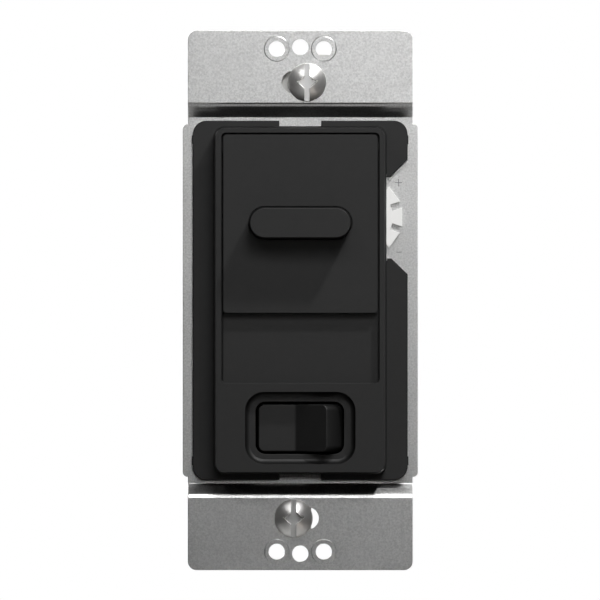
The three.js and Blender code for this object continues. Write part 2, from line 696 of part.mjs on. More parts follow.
function put(name, manifold, colour, place = {}) {
  const data = manifold.getMesh();
  const geometry = new THREE.BufferGeometry();
  geometry.setAttribute('position', new THREE.BufferAttribute(new Float32Array(data.vertProperties), 3));
  geometry.setIndex(new THREE.BufferAttribute(new Uint32Array(data.triVerts), 1));
  geometry.computeVertexNormals();
  const [color, metalness, roughness] = COLOURS[colour];
  const mesh = new THREE.Mesh(geometry, new THREE.MeshStandardMaterial({ color, metalness, roughness }));
  mesh.name = name;
  mesh.position.set(...(place.at ?? [0, 0, 0]));
  mesh.rotation.set(...(place.turn ?? [0, 0, 0]));
  root.add(mesh);
}

put('mounting_strap', makeStrap(), 'metal');
put('front_frame', makeFrontFrame(), 'black');
put('slide_panel', makeSlidePanel(), 'black');
put('slide_carriage', makeSlideCarriage(), 'white');
put('slide_pot_body', makeSlidePotBody(), 'metal');
put('slide_pot_lever', makeSlidePotLever(), 'brass');

const rockerRest = {
  at: [0, ROCKER.pivotY, ROCKER.z],
  turn: [0, 0, THREE.MathUtils.degToRad(-ROCKER.tilt)],
};
put('rocker', makeRocker(), 'black', rockerRest);
put('rocker_plunger', makePlunger(), 'white', rockerRest);
put('rocker_spring', makeRockerSpring(), 'nickel', rockerRest);
put('contact_arm', makeContactArm(), 'copper', {
  at: [0, ARM_PIVOT_Y, ROCKER.z],
  turn: [0, 0, THREE.MathUtils.degToRad(ROCKER.tilt / 2)],
});
put('common_bracket', makeCommonBracket(), 'brass');
put('fixed_contact_left', makeFixedContact(-1), 'brass');
put('fixed_contact_right', makeFixedContact(1), 'brass');
put('switch_base', makeSwitchBase(), 'tan');

put('trim_wheel', makeTrimWheel(), 'white', { at: [WHEEL.x, 0, WHEEL.z] });
put('trim_pot_body', makeTrimPotBody(), 'blue');

put('box_screw_upper', makeBoxScrew(), 'nickel', { at: [1.3, 0, BOX_SLOT.z] });
put('box_screw_lower', makeBoxScrew(), 'nickel', { at: [-1.27, 0, -BOX_SLOT.z] });
put('screw_retainer_upper', makeRetainer(), 'fibre', { at: [1.2, 0, 43.05] });
put('screw_retainer_lower', makeRetainer(), 'fibre', { at: [-2.45, 0, -42.7] });

put('rear_housing', makeHousing(), 'housing');
corners().forEach(([x, z], i) => {
  put(`assembly_screw_${i + 1}`, makeAssemblyScrew(), 'nickel', { at: [x, 0, z] });
});
TERMINALS.forEach(([side, z], i) => {
  put(`terminal_plate_${i + 1}`, makeTerminalPlate(side, z), 'brass');
  put(`terminal_screw_${i + 1}`, bindingScrew(6), 'brass', {
    at: [side * (TERMINAL.x + 0.9), TERMINAL.y, z],
    turn: [0, 0, (-side * Math.PI) / 2],
  });
});
put('ground_screw', bindingScrew(4.5), 'green', {
  at: [GROUND_TAB.x, GROUND_TAB.screwY, GROUND_TAB.z0],
  turn: [-Math.PI / 2, 0, 0],
});

put('circuit_board', makeCircuitBoard(), 'board');
put('triac', makeTriac(), 'ferrite');
put('triac_insulator', makeTriacInsulator(), 'fibre');
put('triac_rivet', makeTriacRivet(), 'metal');
put('choke_core', makeChokeCore(), 'ferrite');
put('choke_winding', makeChokeWinding(), 'copper');
put('suppressor_capacitor', boxedPart(13.2, 14.6, 7.6, 17.5, 12), 'yellow');
put('timing_capacitor', boxedPart(4.2, 17.2, 5.2, 10, 8), 'red');
put('resistor_1', axialPart(2.5, -2.6, 1.6, 8), 'tan');
put('resistor_2', axialPart(7.5, -2.6, 1.6, 8), 'tan');
put('diac', axialPart(-3.5, -4.4, 0.95, 4.2), 'red');
put('varistor', makeVaristor(), 'blue');
put('fuse', axialPart(11.9, -4.0, 1.3, 7), 'white');

export default root;
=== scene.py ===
"""Slide dimmer with an on/off rocker on its metal strap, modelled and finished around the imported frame.
Sizes in this file are millimetres unless a name says otherwise; X right, Z up, the front faces -Y."""
import math

import bmesh
import bpy
from mathutils import Matrix, Vector


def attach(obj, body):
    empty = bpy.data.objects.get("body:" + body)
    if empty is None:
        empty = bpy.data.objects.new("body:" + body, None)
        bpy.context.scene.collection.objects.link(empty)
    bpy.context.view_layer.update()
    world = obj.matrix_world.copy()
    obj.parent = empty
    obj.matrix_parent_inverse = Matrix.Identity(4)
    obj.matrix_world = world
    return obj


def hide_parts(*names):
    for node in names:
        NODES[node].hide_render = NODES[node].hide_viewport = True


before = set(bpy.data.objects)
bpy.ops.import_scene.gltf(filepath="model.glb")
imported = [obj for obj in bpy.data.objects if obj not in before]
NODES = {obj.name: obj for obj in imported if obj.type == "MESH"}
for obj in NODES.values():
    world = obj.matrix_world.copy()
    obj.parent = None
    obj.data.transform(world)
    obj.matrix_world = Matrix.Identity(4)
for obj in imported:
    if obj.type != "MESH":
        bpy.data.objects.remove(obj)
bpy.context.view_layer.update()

MM = 0.001

# ---------------------------------------------------------------- dimensions

PLATE_FRONT, METAL = 1.0, 1.5          # the strap's recessed plate, and its thickness
BEND_START, BEND_END = 37.20, 35.07    # heights where the front of each bend leaves the ear and meets the plate
CONVEX_REACH, CONCAVE_REACH = 0.60, 0.10
FACE_Y, FLOOR_Y, RING_Y = -7.6, -6.2, -6.0    # raised face, floor of the slide well, floor round the rocker
SLIDE_REAR = FACE_Y + 1.1
GRIP_Z, GRIP_HEIGHT, GRIP_LENGTH, GRIP_WIDTH = 14.74, 5.0, 20.0, 6.48
ROCKER_Z, PIVOT_Y, TILT = -24.3, -2.03, 16.0
CREASE_DEPTH, ROCKER_REACH, ROCKER_EDGE = 3.3, 8.53, 0.22    # from the pivot to its crease and its ends; edge radius
WHEEL_X, WHEEL_Z, WHEEL_APOTHEM, TEETH = 11.9, 15.9, 7.55, 10
BOX_SCREW_Z = 41.67
SCREW_CORNERS = [(-13.2, 29.6), (13.2, 29.6), (-13.2, -29.6), (13.2, -29.6)]
TERMINALS = [(1, -6.0), (1, -20.0), (-1, -13.0)]      # side, and height
# Turns a body swept along Y so that it lies along Z.
ALONG_Z = Matrix(((1, 0, 0, 0), (0, 0, 1, 0), (0, -1, 0, 0), (0, 0, 0, 1)))


# ---------------------------------------------------------------- outlines in X and Z

def rounded(w, h, r, cx=0.0, cz=0.0, n=10):
    """A rounded rectangle, anticlockwise as seen from the front."""
    out = []
    for k, (sx, sz) in enumerate(((1, 1), (-1, 1), (-1, -1), (1, -1))):
        for i in range(n + 1):
            a = math.pi / 2 * (k + i / n)
            out.append((cx + sx * (w / 2 - r) + r * math.cos(a), cz + sz * (h / 2 - r) + r * math.sin(a)))
    return out


def circle(r, cx=0.0, cz=0.0, n=48):
    return [(cx + r * math.cos(2 * math.pi * i / n), cz + r * math.sin(2 * math.pi * i / n)) for i in range(n)]


def stadium(length, width, cx=0.0, cz=0.0, n=14):
    return rounded(length, width, width / 2 - 0.004, cx, cz, n)


def arc(cx, cz, r, a0, a1, n):
    return [(cx + r * math.cos(math.radians(a0 + (a1 - a0) * i / n)),
             cz + r * math.sin(math.radians(a0 + (a1 - a0) * i / n))) for i in range(n + 1)]


def offset(points, d):
    """The anticlockwise outline moved outwards by d."""
    if not d:
        return list(points)
    out = []
    for i, (x, z) in enumerate(points):
        (ax, az), (bx, bz) = points[i - 1], points[(i + 1) % len(points)]
        u = Vector((x - ax, z - az)).normalized()
        v = Vector((bx - x, bz - z)).normalized()
        n1, n2 = Vector((u.y, -u.x)), Vector((v.y, -v.x))
        m = (n1 + n2) / max(1 + n1.dot(n2), 0.35)
        out.append((x + d * m.x, z + d * m.y))
    return out


def round_edge(y, r, direction, n=4):
    """Profile points (outset, y) of a rounded edge whose flat lies at y, solid towards `direction`."""
    return [(-r * (1 - math.sin(math.pi / 2 * i / n)), y + direction * r * (1 - math.cos(math.pi / 2 * i / n)))
            for i in range(n + 1)]


# ---------------------------------------------------------------- mesh building

class Skin:
    def __init__(self):
        self.bm = bmesh.new()

    def ring(self, points):
        return [self.bm.verts.new(p) for p in points]

    def band(self, a, b):
        n = len(a)
        for i in range(n):
            j = (i + 1) % n
            self.bm.faces.new((a[i], a[j], b[j], b[i]))

    def tube(self, rings, caps=True):
        made = [self.ring(r) for r in rings]
        for a, b in zip(made, made[1:]):
            self.band(a, b)
        if caps:
            self.bm.faces.new(made[0])
            self.bm.faces.new(made[-1])
        return made

    def fill(self, *loops):
        edges = []
        for loop in loops:
            for i, v in enumerate(loop):
                w = loop[(i + 1) % len(loop)]
                edges.append(self.bm.edges.get((v, w)) or self.bm.edges.new((v, w)))
        bmesh.ops.triangle_fill(self.bm, use_beauty=True, use_dissolve=False, edges=edges)

    def block(self, x0, x1, y0, y1, z0, z1):
        self.tube([[(x, y, z) for x, z in ((x0, z0), (x1, z0), (x1, z1), (x0, z1))] for y in (y0, y1)])
        return self

    def plate(self, points, profile):
        """A closed body: the outline swept along Y, outset as the profile's (outset, y) points say."""
        self.tube([[(x, y, z) for x, z in offset(points, d)] for d, y in profile])
        return self

    def revolve(self, profile, n=48):
        """A closed body of revolution about +Y from (r, y) points; the ends may lie on the axis."""
        rings = []
        for r, y in profile:
            if r < 1e-6:
                rings.append([self.bm.verts.new((0, y, 0))])
            else:
                rings.append(self.ring([(r * math.cos(2 * math.pi * i / n), y, r * math.sin(2 * math.pi * i / n))
                                        for i in range(n)]))
        for a, b in zip(rings, rings[1:]):
            if len(a) == 1 and len(b) == 1:
                continue
            if len(a) == 1 or len(b) == 1:
                tip, loop = (a[0], b) if len(a) == 1 else (b[0], a)
                for i in range(n):
                    self.bm.faces.new((tip, loop[i], loop[(i + 1) % n]))
            else:
                self.band(a, b)
        for end in (rings[0], rings[-1]):
            if len(end) > 1:
                self.bm.faces.new(end)
        return self

    def thread(self, major, minor, pitch, y0, y1, n=24, per_turn=7):
        """A screw thread about +Y from y0 to y1, its last turns tapered."""
        count = int((y1 - y0) / pitch * per_turn)
        rings = []
        for j in range(count + 1):
            y = y0 + (y1 - y0) * j / count
            taper = min(1.0, (y1 - y) / (1.6 * pitch) + 0.45)
            ring = []
            for i in range(n):
                phase = ((y - y0) / pitch - i / n) % 1.0
                crest = max(0.0, 1.0 - abs(phase - 0.5) * 2.6)
                r = (minor + (major - minor) * min(1.0, crest * 1.25)) * taper
                ring.append((r * math.cos(2 * math.pi * i / n), y, r * math.sin(2 * math.pi * i / n)))
            rings.append(ring)
        self.tube(rings)
        return self

    def moved(self, matrix):
        bmesh.ops.transform(self.bm, matrix=matrix, verts=self.bm.verts[:])
        return self

    def mesh(self, name):
        bmesh.ops.recalc_face_normals(self.bm, faces=self.bm.faces[:])
        data = bpy.data.meshes.new(name)
        self.bm.to_mesh(data)
        self.bm.free()
        return data


def loose(name, skin):
    obj = bpy.data.objects.new(name, skin.mesh(name))
    bpy.context.scene.collection.objects.link(obj)
    return obj


def boolean(obj, skin, operation="DIFFERENCE"):
    """Joins or cuts at once, so that no modifier and no helper object stay."""
    other = loose("helper", skin)
    mod = obj.modifiers.new("b", "BOOLEAN")
    mod.operation, mod.solver, mod.object = operation, "EXACT", other
    graph = bpy.context.evaluated_depsgraph_get()
    made = bpy.data.meshes.new_from_object(obj.evaluated_get(graph), depsgraph=graph)
    obj.modifiers.clear()
    old, obj.data = obj.data, made
    bpy.data.meshes.remove(old)
    helper = other.data
    bpy.data.objects.remove(other)
    bpy.data.meshes.remove(helper)
    return obj


def finish_piece(obj, body, material, nodes=(), angle=32.0):
    """Scales to metres, gives the material, smooths by angle, attaches the piece to its body's empty and hides the
    imported parts it replaces.
    """
    mesh = obj.data
    mesh.transform(Matrix.Scale(MM, 4))
    bm = bmesh.new()
    bm.from_mesh(mesh)
    bmesh.ops.remove_doubles(bm, verts=bm.verts[:], dist=1e-7)
    bmesh.ops.dissolve_degenerate(bm, edges=bm.edges[:], dist=1e-7)
    bm.to_mesh(mesh)
    bm.free()
    mesh.materials.clear()
    mesh.materials.append(material)
    mesh.shade_smooth()
    mesh.set_sharp_from_angle(angle=math.radians(angle))
    weigh = obj.modifiers.new("weighted", "WEIGHTED_NORMAL")
    weigh.keep_sharp = True
    weigh.weight = 60
    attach(obj, body)
    if nodes:
        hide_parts(*nodes)
    return obj


# ---------------------------------------------------------------- materials

class Shader:
    """A Principled material whose nodes read the object's own coordinates."""

    def __init__(self, name, roughness=0.5, metallic=0.0, **uniform):
        self.material = bpy.data.materials.new(name)
        self.material.use_nodes = True
        self.tree = self.material.node_tree
        self.bsdf = self.tree.nodes["Principled BSDF"]
        self.bsdf.inputs["Roughness"].default_value = roughness
        self.bsdf.inputs["Metallic"].default_value = metallic
        for key, value in uniform.items():
            self.bsdf.inputs[key.replace("_", " ")].default_value = value
        self.coords = self.tree.nodes.new("ShaderNodeTexCoord").outputs["Object"]

    def node(self, kind, **settings):
        made = self.tree.nodes.new(kind)
        for key, value in settings.items():
            setattr(made, key, value)
        return made

    def link(self, a, b):
        self.tree.links.new(a, b)

    def stretched(self, scale):
        mapping = self.node("ShaderNodeMapping")
        mapping.inputs["Scale"].default_value = scale
        self.link(self.coords, mapping.inputs["Vector"])
        return mapping.outputs["Vector"]

    def noise(self, size_mm, detail=3.0, rough=0.55, stretch=None):
        """Noise whose blobs are about size_mm across."""
        made = self.node("ShaderNodeTexNoise")
        made.inputs["Scale"].default_value = 1000.0 / size_mm
        made.inputs["Detail"].default_value = detail
        made.inputs["Roughness"].default_value = rough
        self.link(self.stretched(stretch) if stretch else self.coords, made.inputs["Vector"])
        return made.outputs["Fac"]

    def span(self, value, low, high, from_low=0.3, from_high=0.7):
        made = self.node("ShaderNodeMapRange")
        made.inputs["From Min"].default_value = from_low
        made.inputs["From Max"].default_value = from_high
        made.inputs["To Min"].default_value = low
        made.inputs["To Max"].default_value = high
        self.link(value, made.inputs["Value"])
        return made.outputs["Result"]

    def colour(self, value, *stops):
        """A colour ramp over value: stops are (place, (r, g, b))."""
        ramp = self.node("ShaderNodeValToRGB")
        elements = ramp.color_ramp.elements
        while len(elements) < len(stops):
            elements.new(0.5)
        for element, (place, rgb) in zip(elements, stops):
            element.position = place
            element.color = (*rgb, 1.0)
        self.link(value, ramp.inputs["Fac"])
        self.link(ramp.outputs["Color"], self.bsdf.inputs["Base Color"])
        return self

    def rough(self, value, low, high):
        self.link(self.span(value, low, high), self.bsdf.inputs["Roughness"])
        return self

    def bump(self, value, depth_mm, strength=1.0):
        made = self.node("ShaderNodeBump")
        made.inputs["Distance"].default_value = depth_mm * MM
        made.inputs["Strength"].default_value = strength
        self.link(value, made.inputs["Height"])
        if self.bsdf.inputs["Normal"].is_linked:
            self.link(self.bsdf.inputs["Normal"].links[0].from_socket, made.inputs["Normal"])
        self.link(made.outputs["Normal"], self.bsdf.inputs["Normal"])
        return self


def tone(rgb, k):
    return tuple(c * k for c in rgb)


def plastic(name, rgb, roughness, grain=0.12, depth=0.004, variation=0.08, patch=6.0):
    s = Shader(name, roughness)
    s.colour(s.noise(patch, 4.0), (0.3, tone(rgb, 1 - variation)), (0.7, tone(rgb, 1 + variation)))
    fine = s.noise(grain, 2.0)
    s.rough(s.noise(patch / 3, 3.0), roughness - 0.04, roughness + 0.04)
    return s.bump(fine, depth).material


def metal(name, rgb, roughness, grain=0.3, depth=0.01, spread=0.08, variation=0.06, stretch=None):
    s = Shader(name, roughness, 1.0)
    speckle = s.noise(grain, 2.5, 0.6, stretch)
    s.colour(speckle, (0.32, tone(rgb, 1 - variation)), (0.68, tone(rgb, 1 + variation)))
    s.rough(s.noise(grain * 1.7, 3.0, 0.6, stretch), roughness - spread, roughness + spread)
    return s.bump(speckle, depth).material


STRAP = metal("strap_aluminium", (0.66, 0.66, 0.655), 0.35, 0.34, 0.011, 0.05, 0.15)


def black_moulding():
    """Satin black whose steep walls get a lower specular level than the flats, set by how far they turn from the
    front: painted shade that keeps the walls dark.
    """
    s = Shader("satin_black_moulding", 0.5)
    s.colour(s.noise(6.0, 4.0), (0.3, (0.0076, 0.0076, 0.0076)), (0.7, (0.0084, 0.0084, 0.0084)))
    s.rough(s.noise(2.0, 3.0), 0.54, 0.60)
    # painted shade: the specular level falls on surfaces turned away from the front, so walls stay dark
    split = s.node("ShaderNodeSeparateXYZ")
    s.link(s.node("ShaderNodeTexCoord").outputs["Normal"], split.inputs["Vector"])
    size = s.node("ShaderNodeMath", operation="ABSOLUTE")
    s.link(split.outputs["Y"], size.inputs[0])
    s.link(s.span(size.outputs["Value"], 0.04, 0.43, 0.45, 0.95), s.bsdf.inputs["Specular IOR Level"])
    return s.bump(s.noise(0.10, 2.0), 0.0015).material


BLACK = black_moulding()
HOUSING = plastic("housing_moulding", (0.020, 0.0205, 0.022), 0.55, 0.25, 0.012, 0.12)
WHITE = plastic("white_moulding", (0.90, 0.90, 0.885), 0.45, 0.10, 0.002, 0.02)
FIBRE = plastic("pressed_fibre", (0.62, 0.62, 0.60), 0.8, 0.35, 0.02, 0.06, 1.2)


def plated():
    """Plating: satin on the turned dome, as smooth as the strap on the flat floors of slot and recess; the floors are
    also painted the strap's darker grey and the dome a near-white, a painted difference in light across one plating.
    """
    s = Shader("satin_plating", 0.5, 1.0)
    split = s.node("ShaderNodeSeparateXYZ")
    s.link(s.node("ShaderNodeTexCoord").outputs["Normal"], split.inputs["Vector"])
    facing = s.node("ShaderNodeMath", operation="ABSOLUTE")
    s.link(split.outputs["Y"], facing.inputs[0])
    s.link(s.span(facing.outputs["Value"], 0.43, 0.35, 0.993, 0.999), s.bsdf.inputs["Roughness"])
    s.link(s.span(facing.outputs["Value"], 0.65, 0.0, 0.993, 0.999), s.bsdf.inputs["Anisotropic"])
    s.bsdf.inputs["Anisotropic Rotation"].default_value = 0.25
    s.link(s.node("ShaderNodeTangent", direction_type="RADIAL", axis="Y").outputs["Tangent"], s.bsdf.inputs["Tangent"])
    # painted shade: front-facing floors of slot and recess darker grey, the dome near-white
    s.colour(s.span(facing.outputs["Value"], 0.0, 1.0, 0.993, 0.999),
             (0.0, (0.95, 0.94, 0.92)), (1.0, (0.66, 0.66, 0.655)))
    return s.bump(s.noise(0.35, 2.5), 0.004).material


PLATED = plated()
SCREW_BRASS = metal("screw_brass", (0.70, 0.50, 0.22), 0.28, 0.4, 0.003, 0.08, 0.08)
STAMPED_BRASS = metal("stamped_brass", (0.72, 0.52, 0.24), 0.34, 0.5, 0.004, 0.08, 0.08, (1, 1, 0.15))
GREEN = metal("green_passivation", (0.06, 0.34, 0.12), 0.33, 0.4, 0.004, 0.06, 0.12)
STEEL = metal("drawn_steel", (0.58, 0.58, 0.57), 0.3, 0.3, 0.003, 0.06, 0.06)
POT_CASE = metal("folded_tinplate", (0.62, 0.63, 0.64), 0.34, 0.8, 0.004, 0.06, 0.05, (1, 1, 0.2))
COPPER = metal("enamelled_copper", (0.62, 0.24, 0.09), 0.22, 0.5, 0.002, 0.05, 0.10)
EPOXY = plastic("moulded_epoxy", (0.03, 0.03, 0.033), 0.6, 0.12, 0.01, 0.12, 2.0)
FERRITE = plastic("sintered_ferrite", (0.07, 0.07, 0.078), 0.7, 0.25, 0.03, 0.2, 1.0)
FILM_YELLOW = plastic("film_case_yellow", (0.66, 0.45, 0.06), 0.35, 0.3, 0.004, 0.06, 4.0)
FILM_RED = plastic("film_case_red", (0.42, 0.07, 0.04), 0.35, 0.3, 0.004, 0.06, 4.0)
BLUE = plastic("blue_moulding", (0.05, 0.14, 0.40), 0.4, 0.2, 0.006, 0.08, 3.0)
PHENOLIC = plastic("phenolic_moulding", (0.30, 0.19, 0.10), 0.5, 0.3, 0.01, 0.15, 1.2)
RESISTOR = plastic("resistor_lacquer", (0.56, 0.40, 0.23), 0.38, 0.3, 0.01, 0.07, 1.5)
GLASS_RED = plastic("sealed_bead", (0.42, 0.10, 0.05), 0.15, 0.3, 0.002, 0.12, 1.0)
CERAMIC = plastic("unglazed_ceramic", (0.74, 0.74, 0.70), 0.65, 0.2, 0.01, 0.05, 1.5)
THERMAL = plastic("thermal_pad", (0.40, 0.40, 0.42), 0.85, 0.3, 0.02, 0.08, 2.0)
INK = plastic("grey_ink", (0.20, 0.20, 0.20), 0.6, 0.2, 0.001, 0.10, 1.0)


def board_material():
    s = Shader("solder_mask", 0.35)
    weave = s.node("ShaderNodeTexBrick")
    weave.inputs["Scale"].default_value = 420.0
    weave.inputs["Color1"].default_value = (0.02, 0.13, 0.05, 1)
    weave.inputs["Color2"].default_value = (0.025, 0.155, 0.06, 1)
    weave.inputs["Mortar"].default_value = (0.015, 0.10, 0.04, 1)
    s.link(s.coords, weave.inputs["Vector"])
    s.link(weave.outputs["Color"], s.bsdf.inputs["Base Color"])
    s.rough(s.noise(2.0), 0.28, 0.42)
    return s.bump(s.noise(0.5), 0.01).material


BOARD = board_material()


# ---------------------------------------------------------------- strap

def bends(front):
    """The two bends of one face as (height, reach): first the one at the ear, then the one at the plate."""
    slope = math.atan2(PLATE_FRONT + METAL, BEND_START - BEND_END)
    shift = 0.0 if front else METAL * math.tan(slope / 2)
    reach = (CONVEX_REACH, CONCAVE_REACH) if front else (CONCAVE_REACH, CONVEX_REACH)
    return (BEND_START + shift, reach[0]), (BEND_END + shift, reach[1])


def coined(u, upper):
    """Fall of the front face over a share u of the bend at an ear.

    A shallow land leads to the slope, and at the upper ear a small lip comes before it."""
    grades = [(0, 0.0), (1, 0.55), (2, 0.55), (3, 0.08), (7, 0.08), (9, 1.0), (12, 1.19)] if upper else \
        [(0, 0.0), (1, 0.28), (6, 0.29), (9, 0.88), (12, 0.94)]
    fall = 0.0
    for (a, before), (b, after) in zip(grades, grades[1:]):
        share = min(max((12 * u - a) / (b - a), 0.0), 1.0)
        fall += (b - a) / 12 * share * (before + (after - before) * share / 2)
    return fall


def bent(z, front):
    """Y of the strap's front or rear face at height z, its bends rounded."""
    ear, plate = (-METAL, PLATE_FRONT) if front else (0.0, PLATE_FRONT + METAL)
    (start, ear_reach), (end, plate_reach) = bends(front)
    a = abs(z)
    grade = (ear - plate) / (start - end)
    if a >= start + ear_reach:
        return ear
    if a <= end - plate_reach:
        return plate
    if a > start - ear_reach:
        t = (a - (start - ear_reach)) / (2 * ear_reach)
        return ear - grade * ear_reach * (2 * coined(1 - t, z > 0) if front else (1 - t) ** 2)
    if a < end + plate_reach:
        t = (a - (end - plate_reach)) / (2 * plate_reach)
        return plate + grade * plate_reach * t ** 2
    return plate + grade * (a - end)


def strap_outline():
    """The strap's outline seen from the front, with its ears a little narrower than its middle."""
    plate_x, plate_z, plate_r = 22.5, 33.8, 0.95
    ear_x, ear_z, ear_r = 21.5, 51.6, 1.7
    quarter = arc(plate_x - plate_r, plate_z - plate_r, plate_r, 0, 82, 6) + [(ear_x, plate_z - 0.05)]
    quarter += arc(ear_x - ear_r, ear_z - ear_r, ear_r, 0, 90, 10)
    flip = [(-x, z) for x, z in reversed(quarter)]
    top = quarter + flip
    return top + [(-x, -z) for x, z in top]


def strap():
    """The sheet is made flat with its holes, cut across at the bends and then laid along the bent section.

    The tab of the ground screw is joined on behind."""
    s = Skin()
    edge = 0.12
    rim = [(-edge, 0.0), (-edge * 0.3, edge * 0.3), (0.0, edge), (0.0, METAL - edge),
           (-edge * 0.3, METAL - edge * 0.3), (-edge, METAL)]
    outer = s.tube([[(x, y, z) for x, z in offset(strap_outline(), d)] for d, y in rim], caps=False)
    fronts, rears = [outer[0]], [outer[-1]]

    def hole(points, soft=0.12):
        rings = [(soft, 0.0), (soft * 0.3, soft * 0.3), (0.0, soft), (0.0, METAL - soft),
                 (soft * 0.3, METAL - soft * 0.3), (soft, METAL)]
        made = s.tube([[(x, y, z) for x, z in offset(points, d)] for d, y in rings], caps=False)
        fronts.append(made[0])
        rears.append(made[-1])

    for up in (1, -1):
        hole(circle(1.55, 0, up * 48.42, 40), 0.03)
        hole(stadium(7.08, 4.24, 0, up * BOX_SCREW_Z, 12), 0.05)
        raised_pad = ((0.92, 0.0), (0.79, -0.11), (0.76, -0.12), (0.03, -0.12), (0.0, -0.03), (0.0, METAL - edge),
                      (edge, METAL))
        for side in (1, -1):
            points = circle(1.52, side * 4.5, up * 48.05, 40)
            made = s.tube([[(x, y, z) for x, z in offset(points, d)] for d, y in raised_pad], caps=False)
            fronts.append(made[0])
            rears.append(made[-1])
    hole(rounded(20.4, 14.4, 1.5, 0, ROCKER_Z, 5))
    hole(rounded(6.4, 22.8, 0.5, 0, 8.0, 4))
    hole(circle(2.4, WHEEL_X, WHEEL_Z, 32))
    hole(circle(1.6, -12.2, 23.4, 24))
    for x, z in SCREW_CORNERS:
        hole(circle(1.6, x, z, 24))
    s.fill(*fronts)
    s.fill(*rears)
    for centre, reach in (*bends(True), *bends(False)):
        for k in range(-6, 7):
            for sign in (1, -1):
                bmesh.ops.bisect_plane(s.bm, geom=s.bm.verts[:] + s.bm.edges[:] + s.bm.faces[:], dist=1e-6,
                                       plane_co=(0, 0, sign * (centre + reach * k / 6)), plane_no=(0, 0, 1))
    for v in s.bm.verts:
        t = v.co.y / METAL
        near, far = bent(v.co.z, True), bent(v.co.z, False)
        v.co.y = near + (far - near) * t
    obj = loose("strap_sheet", s)
    tab = Skin().plate([(-9, 0.8), (1, 0.8), (1, 13.0), (-9, 13.0)],
                       [(-0.1, 33.7), (0, 33.8), (0, 34.8), (-0.1, 34.9)])
    tab.moved(ALONG_Z)
    boolean(obj, tab, "UNION")
    bore = Skin().plate(circle(1.95, -4.0, 8.6, 28), [(0, 32), (0, 36)])
    bore.moved(ALONG_Z)
    boolean(obj, bore)
    return finish_piece(obj, "base", STRAP, ["mounting_strap"], 13)


# ---------------------------------------------------------------- front frame

def flange_outline():
    """The flange seen from the front: thumb nibs at its corners, a notch for the wheel, a gap at each end."""
    x, z, r, nib = 20.54, 34.35, 2.6, 20.69
    gap_x, gap_z = 4.0, 33.3
    right = [(gap_x, -z)] + arc(x - r, r - z, r, -90, 0, 10)
    right += [(x, -31.55), (nib, -31.5), (nib, -29.9), (x, -29.85)]
    right += [(x, 4.97), (17.44, 8.02), (16.56, 8.02), (16.56, 23.64), (17.33, 23.64), (x, 26.95)]
    right += [(x, 29.85), (nib, 29.9), (nib, 31.5), (x, 31.55)]
    right += arc(x - r, z - r, r, 0, 90, 10) + [(gap_x, z), (gap_x, gap_z)]
    left = [(-gap_x, gap_z), (-gap_x, z)] + arc(r - x, z - r, r, 90, 180, 10)
    left += [(-x, 31.55), (-nib, 31.5), (-nib, 29.9), (-x, 29.85)]
    left += [(-x, -29.85), (-nib, -29.9), (-nib, -31.5), (-x, -31.55)]
    left += arc(r - x, r - z, r, 180, 270, 10) + [(-gap_x, -z), (-gap_x, -gap_z), (gap_x, -gap_z)]
    return right + left


